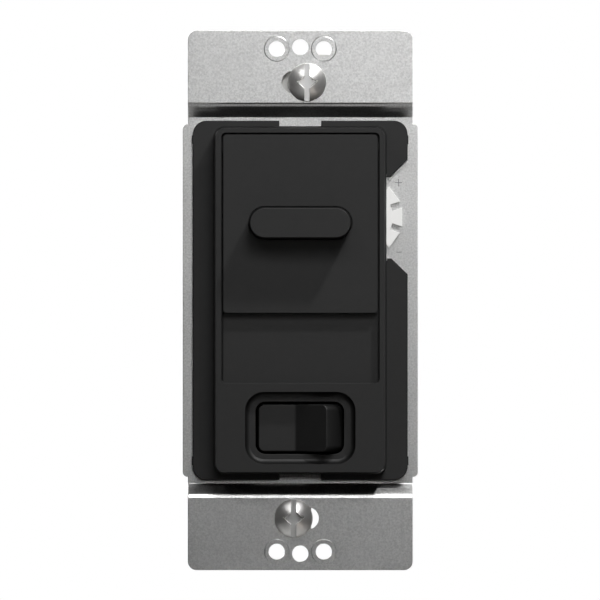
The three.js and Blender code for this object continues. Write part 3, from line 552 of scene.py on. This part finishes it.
def front_frame():
    """Raised face on its flange, with the slide's well and side grooves, the rocker's ring, and bosses behind."""
    wall = [(-0.50, FACE_Y), (-0.47, FACE_Y + 0.01), (-0.45, FACE_Y + 0.05), (-0.15, FACE_Y + 3.4),
            (0, FACE_Y + 6.6), (0, PLATE_FRONT)]
    obj = loose("front_moulding", Skin().plate(rounded(33.0, 66.5, 2.0), wall))
    boolean(obj, Skin().plate(flange_outline(), round_edge(-0.6, 0.15, 1, 3) + [(0, PLATE_FRONT - 0.01)]), "UNION")
    well = rounded(30.2, 47.8, 0.9, 0.02, 8.05, 8)
    boolean(obj, Skin().plate(well, [(0.04, FACE_Y - 1), (0.04, FACE_Y), (0.02, FACE_Y + 0.01), (0.0, FACE_Y + 0.04),
                                     (0, FLOOR_Y - 0.06), (-0.02, FLOOR_Y - 0.02), (-0.06, FLOOR_Y)]))
    for side in (-1, 1):
        near, far = sorted((side * 14.72, side * 15.3))
        boolean(obj, Skin().block(near, far, FACE_Y + 0.3, FLOOR_Y + 0.8, -15.3, 31.4))
    boolean(obj, Skin().block(-14.2, 14.2, FLOOR_Y - 0.3, FLOOR_Y + 0.8, 31.35, 31.9))
    depth, reach, sweep, steps = RING_Y - FACE_Y, 0.98, 84, 12
    cove = [(0.06, FACE_Y - 1), (0.06, FACE_Y), (0.02, FACE_Y + 0.04), (0, FACE_Y + 0.12)]
    for i in range(2, steps + 1):
        t = math.radians(sweep * i / steps)
        cove.append((-reach * (1 - math.cos(t)), FACE_Y + depth * math.sin(t)))
    cove.append((-reach * (1 - math.cos(math.radians(sweep))) - 0.02, RING_Y))
    boolean(obj, Skin().block(-15.05, 15.05, -5.0, 9, -14.55, 31.8))
    boolean(obj, Skin().block(-15.05, 15.05, RING_Y + 0.02, 9, -31.8, -16.05))
    boolean(obj, Skin().block(-10.9, 10.9, RING_Y - 0.3, PLATE_FRONT - 0.02, ROCKER_Z - 7.2, ROCKER_Z + 7.2), "UNION")
    boolean(obj, Skin().plate(rounded(20.97, 13.7, 3.6, 0, ROCKER_Z - 0.07, 14), cove))
    boolean(obj, Skin().plate(rounded(16.87, 10.0, 1.9, -0.09, ROCKER_Z - 0.05, 10), [
        (0.1, FACE_Y), (0.1, RING_Y - 0.001), (0.03, RING_Y + 0.03), (0, RING_Y + 0.1), (0, 9)]))
    boolean(obj, Skin().block(-9.6, 9.6, -5.0, 9, ROCKER_Z - 5.2, ROCKER_Z + 5.2))
    boolean(obj, Skin().block(-1.8, 1.8, FACE_Y, 9, -0.9, 17.3))
    boolean(obj, Skin().block(WHEEL_X, 16.6, -1.5, 9, WHEEL_Z - 8.3, WHEEL_Z + 8.3))
    for x, z in SCREW_CORNERS:
        boss = circle(2.2, x - math.copysign(0.2, x), z - math.copysign(0.2, z), 24)
        boolean(obj, Skin().plate(boss, [(0, -6.2), (0, PLATE_FRONT - 0.03)]), "UNION")
        boolean(obj, Skin().plate(circle(1.3, x, z, 20), [(0, -5.2), (0, 9)]))
    boolean(obj, Skin().plate(circle(1.35, 0, -PIVOT_Y, 32), [(0, -30.7), (0, -17.9)]).moved(ALONG_Z))
    boolean(obj, Skin().block(-1.25, 1.25, PIVOT_Y, 9, -30.7, -17.9))
    return finish_piece(obj, "base", BLACK, ["front_frame"])


# ---------------------------------------------------------------- slide

def slide():
    """The sliding panel and its pill-shaped grip."""
    panel = Skin().plate(rounded(29.42, 34.0, 0.7, 0.03, 14.6, 8),
                         round_edge(FACE_Y, 0.03, 1, 3) + [(0, SLIDE_REAR)])
    obj = loose("slide_cover", panel)
    top = FACE_Y - GRIP_HEIGHT
    boolean(obj, Skin().plate(stadium(GRIP_LENGTH, GRIP_WIDTH, 0, GRIP_Z), [(0, FACE_Y - 1), (0, FACE_Y + 0.45)]))
    soft, draft = 0.14, 0.42
    rings = [(FACE_Y + 0.7, 0.17), (FACE_Y, 0.18), (FACE_Y - 2.2, 0.27), (top + soft, draft)]
    for i in range(1, 6):
        a = math.pi / 2 * i / 5
        rings.append((top + soft * (1 - math.sin(a)), draft + soft * (1 - math.cos(a))))
    grip = Skin()
    grip.tube([[(x, y, z) for x, z in stadium(GRIP_LENGTH - 2 * d, GRIP_WIDTH - 2 * d, 0, GRIP_Z)]
               for y, d in rings])
    boolean(obj, grip, "UNION")
    return finish_piece(obj, "dimmer_slide", BLACK, ["slide_panel"])


# ---------------------------------------------------------------- rocker

def rocker_section(z, end_inset, press):
    """The rocker's section in X and Y about its pivot, drawn in at the ends and pressed back at the faces."""
    crease, end_r = CREASE_DEPTH - press, ROCKER_REACH - end_inset
    slope = math.tan(math.radians(TILT))
    a, b = 1 + slope ** 2, crease * slope
    tip = (-b + math.sqrt(b * b - a * (crease ** 2 - end_r ** 2))) / a
    start, end = math.atan2(-crease - slope * tip, tip), math.asin(1.2 / end_r)
    right = []
    soft = 0.16
    direction = Vector((math.cos(math.radians(TILT)), -math.sin(math.radians(TILT))))
    corner = Vector((end_r * math.cos(start), end_r * math.sin(start)))
    before, after = corner - direction * soft, corner + Vector((-math.sin(start), math.cos(start))) * soft
    for i in range(5):
        t = i / 4
        right.append(before * (1 - t) ** 2 + corner * 2 * t * (1 - t) + after * t ** 2)
    first = math.atan2(after.y, after.x)
    for i in range(1, 15):
        angle = first + (end - first) * i / 14
        right.append(Vector((end_r * math.cos(angle), end_r * math.sin(angle))))
    bottom = Vector((0, -crease - slope * 0.1))
    half = [Vector((0.25, -crease - slope * 0.25)), Vector((0.1, -crease - slope * 0.13))] + right
    ring = [bottom] + half + [Vector((-p.x, p.y)) for p in reversed(half)]
    return [(p.x, p.y, z) for p in ring]


def rocker():
    """The paddle with its rounded ends, its pivot pins and the tube for the plunger."""
    half, corner = 4.53, 1.25
    stations = []
    for i in range(9):
        t = math.pi / 2 * i / 8
        drop = corner * (1 - math.cos(t))
        stations.append((-half + drop, corner * (1 - math.sin(t))))
    fine = []
    for z, inset in stations:
        edge = max(0.0, ROCKER_EDGE - (z + half))
        fine.append((z, inset, ROCKER_EDGE - math.sqrt(max(0.0, ROCKER_EDGE ** 2 - edge ** 2))))
    fine.insert(1, (-half + 0.03, corner * 0.79, 0.11))
    fine.sort()
    rings = [rocker_section(z, inset, press) for z, inset, press in fine]
    rings += [[(x, y, -z) for x, y, z in ring] for ring in reversed(rings)]
    s = Skin()
    s.tube(rings)
    obj = loose("rocker_paddle", s)
    pins = Skin().plate(circle(1.2, 0, 0, 28), [(-0.15, -6.2), (0, -6.05), (0, 6.05), (-0.15, 6.2)]).moved(ALONG_Z)
    boolean(obj, pins, "UNION")
    for side in (-1, 1):
        near, far = sorted((side * 3.6, side * 7.4))
        boolean(obj, Skin().block(near, far, -2.4, 3, -3.2, 3.2))
    boolean(obj, Skin().plate(circle(2.6, 0, 0, 32), [(0, 0), (0, 5.9), (-0.1, 6.0)]), "UNION")
    boolean(obj, Skin().plate(circle(1.5, 0, 0, 24), [(0, 0.8), (0, 7)]))
    place(obj, rest_of_rocker())
    return finish_piece(obj, "rocker_paddle", BLACK, ["rocker"], 28)


def rest_of_rocker():
    """Where the pivot sits, and the tilt of the paddle, at the rest pose."""
    return Matrix.Translation((0, PIVOT_Y, ROCKER_Z - 0.07)) @ Matrix.Rotation(math.radians(-TILT), 4, "Z")


def place(obj, matrix):
    obj.data.transform(matrix)
    return obj


# ---------------------------------------------------------------- trim wheel and its marks

def trim_wheel():
    """A ten-sided notched dial with its hub."""
    circum = WHEEL_APOTHEM / math.cos(math.pi / TEETH)
    points = []
    half, inner = 1.25 / 2, WHEEL_APOTHEM - 1.8
    for k in range(TEETH):
        a = (2 * k + 1) * math.pi / TEETH
        u, v = Vector((math.cos(a), math.sin(a))), Vector((-math.sin(a), math.cos(a)))
        edge = circum - half * math.tan(math.pi / TEETH)
        for along, across in ((edge, -half), (inner, -half), (inner, half), (edge, half)):
            p = u * along + v * across
            points.append((p.x, p.y))
    soft, front = 0.03, -0.55
    obj = loose("trim_dial", Skin().plate(points, [(-soft, front), (0, front + soft), (0, 0.7 - soft), (-soft, 0.7)]))
    hub = [(0, 0.5), (2.1, 0.5), (2.1, 4.3), (1.4, 4.4), (1.4, 7.0), (1.2, 7.2), (0, 7.2)]
    boolean(obj, Skin().revolve(hub, 32), "UNION")
    boolean(obj, Skin().block(-2.2, 2.2, -2, 0.1, -0.4, 0.4))
    place(obj, Matrix.Translation((WHEEL_X, 0, WHEEL_Z)))
    return finish_piece(obj, "trim_wheel", WHITE, ["trim_wheel"], 28)


def trim_marks():
    """Printed plus and minus signs beside the wheel."""
    s = Skin()
    y0, y1 = PLATE_FRONT - 0.02, PLATE_FRONT + 0.01
    s.plate([(18.1, 22.43), (18.73, 22.43), (18.73, 21.8), (18.87, 21.8), (18.87, 22.43), (19.5, 22.43), (19.5, 22.57),
             (18.87, 22.57), (18.87, 23.2), (18.73, 23.2), (18.73, 22.57), (18.1, 22.57)], [(0, y0), (0, y1)])
    s.plate([(18.4, 9.13), (19.4, 9.13), (19.4, 9.27), (18.4, 9.27)], [(0, y0), (0, y1)])
    return finish_piece(loose("trim_signs", s), "base", INK)


# ---------------------------------------------------------------- screws and retainers

def box_screw(name, node, body, x, z, turn_deg):
    """Domed head with a slot and a recessed cross, on a threaded shank."""
    top, crown, head_r, sweep = -3.72, 1.7, 3.55, 70
    dome = [(0, top)]
    for i in range(1, 15):
        a = math.radians(sweep * i / 14)
        dome.append((head_r * math.sin(a) / math.sin(math.radians(sweep)),
                     top + crown * (1 - math.cos(a)) / (1 - math.cos(math.radians(sweep)))))
    dome += [(3.58, -1.95), (3.66, -1.5), (1.4, -1.5), (1.4, -1.2), (0, -1.2)]
    obj = loose(name, Skin().revolve(dome, 72))
    boolean(obj, Skin().block(-0.52, 0.52, -5, -1.9, -4, 4))
    cross = [(-0.52, -1.2), (0.52, -1.2), (1.95, 0.0), (2.02, 0.22), (1.98, 0.4), (1.3, 0.42), (0.52, 1.25),
             (-0.52, 1.25), (-1.3, 0.42), (-1.98, 0.4), (-2.02, 0.22), (-1.95, 0.0)]
    boolean(obj, Skin().plate(cross, [(0.06, -4.5), (0, -3.7), (-0.12, -1.9)]))
    shank = loose("helper_shank", Skin().thread(1.6, 1.25, 0.794, -1.25, 22.4, 28, 8))
    join(obj, shank)
    place(obj, Matrix.Translation((x, 0, z)) @ Matrix.Rotation(math.radians(turn_deg), 4, "Y"))
    return finish_piece(obj, body, PLATED, [node], 30)


def join(obj, other):
    """Adds the other object's closed body to obj's mesh."""
    bm = bmesh.new()
    bm.from_mesh(obj.data)
    bm.from_mesh(other.data)
    bm.to_mesh(obj.data)
    bm.free()
    data = other.data
    bpy.data.objects.remove(other)
    bpy.data.meshes.remove(data)


def retainer(name, node, body, x, z, length):
    """A flat pad of pressed fibre with a hole for the screw."""
    s = Skin()
    made = s.tube([[(px, y, pz) for px, pz in offset(rounded(length, 7.6, 0.5, x, z, 5), d)] for d, y in (
        (-0.08, 0.02), (0, 0.1), (0, 0.72), (-0.08, 0.8))], caps=False)
    inner = s.tube([[(px, y, pz) for px, pz in offset(rounded(6.0, 6.0, 2.0, x, z, 8), d)] for d, y in (
        (0.06, 0.02), (0, 0.08), (0, 0.74), (0.06, 0.8))], caps=False)
    s.fill(made[0], inner[0])
    s.fill(made[-1], inner[-1])
    return finish_piece(loose(name, s), body, FIBRE, [node])


def binding_screw(name, node, body, material, length, matrix):
    """Low domed head with a slot and a short cross-cut, on a threaded shank."""
    head = [(0, 2.2)]
    for i in range(1, 9):
        a = math.radians(60 * i / 8)
        head.append((3.15 * math.sin(a) / math.sin(math.radians(60)), 2.2 - 0.8 * (1 - math.cos(a)) / 0.5))
    head += [(3.32, 1.25), (3.4, 1.1), (3.4, 0.12), (3.3, 0.0), (1.4, 0.0), (1.4, -0.4), (0, -0.4)]
    obj = loose(name, Skin().revolve(head, 48))
    boolean(obj, Skin().block(-4, 4, 1.25, 3, -0.45, 0.45))
    boolean(obj, Skin().block(-0.45, 0.45, 1.0, 3, -1.8, 1.8))
    shank = Skin().thread(1.7, 1.3, 0.8, -0.3, length, 20, 7)
    shank.moved(Matrix.Diagonal((1, -1, 1, 1)))
    join(obj, loose("helper_shank", shank))
    place(obj, matrix)
    return finish_piece(obj, body, material, [node], 30)


# ---------------------------------------------------------------- pieces kept from the frame

def dress(node, material, bevel_mm=0.12):
    """Gives a piece of the frame its material and softened edges."""
    obj = NODES[node]
    mesh = obj.data
    mesh.materials.clear()
    mesh.materials.append(material)
    mesh.shade_smooth()
    weld = obj.modifiers.new("weld", "WELD")
    weld.merge_threshold = 2e-6
    if bevel_mm:
        bevel = obj.modifiers.new("bevel", "BEVEL")
        bevel.width = bevel_mm * MM
        bevel.segments = 2
        bevel.limit_method = "ANGLE"
        bevel.angle_limit = math.radians(38)
        bevel.use_clamp_overlap = True
    smooth = obj.modifiers.new("weighted", "WEIGHTED_NORMAL")
    smooth.keep_sharp = True


# ---------------------------------------------------------------- build

strap()
front_frame()
slide()
rocker()
trim_wheel()
trim_marks()
box_screw("ear_screw_upper", "box_screw_upper", "box_screw_upper", 1.3, BOX_SCREW_Z, 0)
box_screw("ear_screw_lower", "box_screw_lower", "box_screw_lower", -1.27, -BOX_SCREW_Z, 0)
retainer("fibre_retainer_upper", "screw_retainer_upper", "retainer_upper", 1.2, 43.17, 9.8)
retainer("fibre_retainer_lower", "screw_retainer_lower", "retainer_lower", -2.6, -42.7, 9.4)
for i, (side, z) in enumerate(TERMINALS, 1):
    binding_screw(f"terminal_head_{i}", f"terminal_screw_{i}", f"terminal_screw_{i}", SCREW_BRASS, 6.0,
                  Matrix.Translation((side * 19.5, 19.0, z)) @ Matrix.Rotation(math.radians(-90 * side), 4, "Z")
                  @ Matrix.Rotation(math.radians(25 * i), 4, "Y"))
    dress(f"terminal_plate_{i}", STAMPED_BRASS, 0.08)
binding_screw("ground_head", "ground_screw", "ground_screw", GREEN, 4.5,
              Matrix.Translation((-4.0, 8.6, -34.9)) @ Matrix.Rotation(math.radians(-90), 4, "X"))

KEPT = {
    "slide_carriage": (WHITE, "white_plastic", 0.15), "slide_pot_body": (POT_CASE, "pot_case", 0.2),
    "slide_pot_lever": (STAMPED_BRASS, "contact_brass", 0.1), "rocker_plunger": (WHITE, "white_plastic", 0.0),
    "rocker_spring": (STEEL, "spring_steel", 0.0), "contact_arm": (STAMPED_BRASS, "contact_brass", 0.08),
    "common_bracket": (STAMPED_BRASS, "contact_brass", 0.08),
    "fixed_contact_left": (STAMPED_BRASS, "contact_brass", 0.08),
    "fixed_contact_right": (STAMPED_BRASS, "contact_brass", 0.08), "switch_base": (PHENOLIC, "tan_plastic", 0.2),
    "trim_pot_body": (BLUE, "blue_plastic", 0.25), "rear_housing": (HOUSING, "housing_plastic", 0.2),
    "circuit_board": (BOARD, "board_green", 0.06), "triac": (EPOXY, "epoxy_black", 0.12),
    "triac_insulator": (THERMAL, "sheet_grey", 0.05), "triac_rivet": (STRAP, "strap_metal", 0.12),
    "choke_core": (FERRITE, "ferrite_core", 0.3), "choke_winding": (COPPER, "copper_wire", 0.0),
    "suppressor_capacitor": (FILM_YELLOW, "film_yellow", 0.0), "timing_capacitor": (FILM_RED, "film_red", 0.0),
    "resistor_1": (RESISTOR, "resistor_tan", 0.15), "resistor_2": (RESISTOR, "resistor_tan", 0.15),
    "diac": (GLASS_RED, "glass_red", 0.1), "varistor": (BLUE, "blue_plastic", 0.3),
    "fuse": (CERAMIC, "ceramic_white", 0.12),
    **{f"assembly_screw_{i}": (STEEL, "screw_nickel", 0.08) for i in range(1, 5)},
}
for node, (material, slot_name, bevel_mm) in KEPT.items():
    dress(node, material, bevel_mm)


# ---------------------------------------------------------------- light, floor and camera

FLOOR_Z = -1100.0     # far enough down to stay out of the front view


def area_light(name, place_mm, target_mm, size_mm, watts, colour=(1, 1, 1)):
    data = bpy.data.lights.new(name, "AREA")
    data.shape = "RECTANGLE"
    data.size, data.size_y = size_mm[0] * MM, size_mm[1] * MM
    data.energy = watts
    data.color = colour
    obj = bpy.data.objects.new(name, data)
    obj.location = Vector(place_mm) * MM
    aim = Vector(target_mm) - Vector(place_mm)
    obj.rotation_euler = aim.to_track_quat("-Z", "Y").to_euler()
    obj.visible_camera = False
    bpy.context.scene.collection.objects.link(obj)
    return obj


def studio_lights():
    """A small hard key from the upper right over soft panels above the camera, and two softer fills behind."""
    for name, toward, distance, size, watts in (
            ("key", (0.404, -0.342, 0.849), 546, (34, 34), 2.65),
            ("front_low", (0.062, -1.0, 0.14), 650, (85, 85), 0.165),
            ("front_panel", (0.13, -1.0, 0.54), 650, (120, 120), 0.52),
            ("upper_panel", (0.22, -1.0, 0.86), 650, (220, 150), 1.6),
            ("upper_left", (-0.42, -0.8, 0.8), 650, (110, 90), 0.45),
            ("right_panel", (1.0, -0.6, 0.15), 900, (560, 560), 0.08),
            ("bounce", (0.42, -0.85, -0.56), 650, (50, 50), 0.10),
            ("rear_left", (-0.8, 0.9, 0.5), 900, (500, 500), 7.0),
            ("rear_right", (0.9, 0.7, 0.3), 900, (500, 500), 4.0)):
        colour = (1.0, 0.86, 0.76) if name == "bounce" else (1, 1, 1)
        area_light(name, Vector(toward).normalized() * distance, (0, 0, 0), size, watts, colour)
    area_light("floor_wash", (-1400, 1700, -160), (-1400, 1700, FLOOR_Z), (2200, 2200), 18)


studio_lights()


def sky():
    """Even white behind the object; what falls on it is a dark room in front and a grey one behind."""
    world = bpy.data.worlds.new("studio")
    world.use_nodes = True
    bpy.context.scene.world = world
    tree = world.node_tree
    room = tree.nodes["Background"]
    coords = tree.nodes.new("ShaderNodeTexCoord")
    split = tree.nodes.new("ShaderNodeSeparateXYZ")
    span = tree.nodes.new("ShaderNodeMapRange")
    span.inputs["From Min"].default_value, span.inputs["From Max"].default_value = 0.05, 0.7
    span.inputs["To Min"].default_value, span.inputs["To Max"].default_value = 0.010, 0.35
    tree.links.new(coords.outputs["Generated"], split.inputs["Vector"])
    tree.links.new(split.outputs["Y"], span.inputs["Value"])
    tree.links.new(span.outputs["Result"], room.inputs["Color"])
    white = tree.nodes.new("ShaderNodeBackground")
    white.inputs["Color"].default_value = (1, 1, 1, 1)
    path = tree.nodes.new("ShaderNodeLightPath")
    mix = tree.nodes.new("ShaderNodeMixShader")
    tree.links.new(path.outputs["Is Camera Ray"], mix.inputs["Fac"])
    tree.links.new(room.outputs["Background"], mix.inputs[1])
    tree.links.new(white.outputs["Background"], mix.inputs[2])
    tree.links.new(mix.outputs["Shader"], tree.nodes["World Output"].inputs["Surface"])


sky()

floor_skin = Skin()
floor_corners = ((-2500, -1200), (2500, -1200), (2500, 4000), (-2500, 4000))
floor_skin.bm.faces.new(floor_skin.ring([(x, y, FLOOR_Z) for x, y in floor_corners]))
floor = loose("studio_floor", floor_skin)
floor.data.transform(Matrix.Scale(MM, 4))
floor_shader = Shader("pale_floor", 0.9)
floor_shader.colour(floor_shader.noise(60.0), (0.3, (0.80, 0.80, 0.79)), (0.7, (0.83, 0.83, 0.82)))
floor.data.materials.append(floor_shader.material)

CAMERA_DISTANCE, SENSOR_WIDTH = 2500.0, 36.0
VIEW_WIDTH = 114.69     # width of the view at the front of the ears
camera_data = bpy.data.cameras.new("camera")
camera_data.sensor_width = SENSOR_WIDTH
camera_data.lens = SENSOR_WIDTH * (CAMERA_DISTANCE - METAL) / VIEW_WIDTH
camera_data.clip_start, camera_data.clip_end = 0.1, 20.0
camera = bpy.data.objects.new("camera", camera_data)
camera.location = (-0.05 * MM, -CAMERA_DISTANCE * MM, 0.05 * MM)
camera.rotation_euler = (math.radians(90), 0, 0)
bpy.context.scene.collection.objects.link(camera)
bpy.context.scene.camera = camera
bpy.context.scene.view_settings.view_transform = "Standard"
